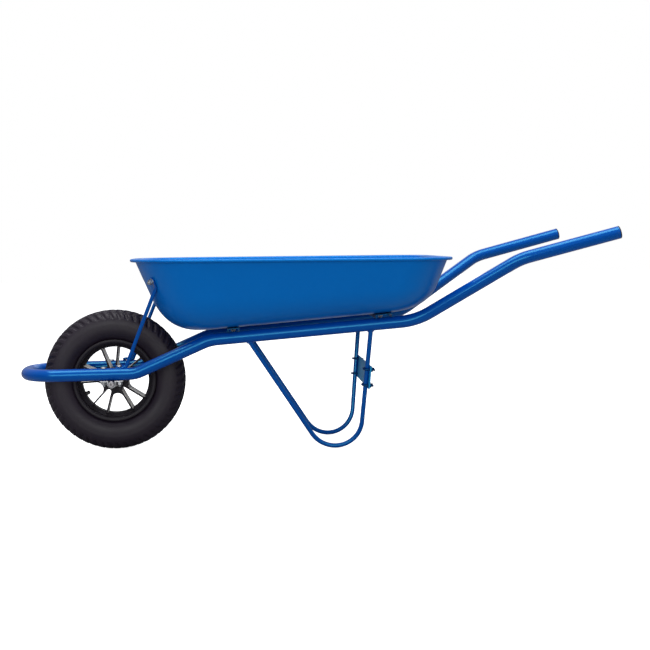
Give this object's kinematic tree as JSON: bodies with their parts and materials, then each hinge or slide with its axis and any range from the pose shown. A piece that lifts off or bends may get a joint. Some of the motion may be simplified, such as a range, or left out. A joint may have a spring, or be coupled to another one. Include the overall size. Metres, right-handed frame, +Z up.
{
  "type": "wheelbarrow",
  "caption": "single-wheel garden wheelbarrow with blue tubular frame, pressed tray and pneumatic wheel",
  "frame": {"origin": "centre of the whole length and width, on the ground", "axes": "+X toward the handles, +Y to the pusher's right, +Z up"},
  "size_m": [1.5241, 0.59, 0.5643],
  "materials": {
    "blue_paint": "gloss",
    "tray_paint": "satin",
    "zinc": "satin",
    "raw_steel": "satin",
    "black_plastic": "matte",
    "wheel_black": "gloss",
    "tyre_rubber": "matte",
    "tube_rubber": "matte"
  },
  "bodies": {
    "frame": {"frame_tube": "blue_paint", "handle_plug_left": "black_plastic", "handle_plug_right": "black_plastic", "leg_left": "blue_paint", "leg_right": "blue_paint", "leg_brace": "blue_paint", "brace_u_bolts": "zinc", "brace_nuts": "zinc", "tray": "tray_paint", "front_beam": "blue_paint", "rear_beam": "blue_paint", "floor_bolts": "zinc", "floor_washers": "zinc", "floor_nuts": "zinc", "stay_left": "blue_paint", "stay_right": "blue_paint", "stay_bolts": "zinc", "stay_washers": "zinc", "stay_nuts": "zinc", "axle": "zinc", "axle_straps": "zinc", "axle_bolts": "zinc", "axle_washers": "zinc", "axle_nuts": "zinc", "axle_spacer_left": "raw_steel", "axle_spacer_right": "raw_steel"},
    "wheel": {"wheel_rim": "wheel_black", "bush_left": "raw_steel", "bush_right": "raw_steel", "tyre": "tyre_rubber", "inner_tube": "tube_rubber", "valve_stem": "tube_rubber", "valve_cap": "black_plastic"}
  },
  "joints": [
    {"name": "wheel_spin", "type": "hinge", "parent": "frame", "child": "wheel", "pos_m": [-0.519, 0, 0.185], "axis": [0, 1, 0], "continuous": true}
  ]
}
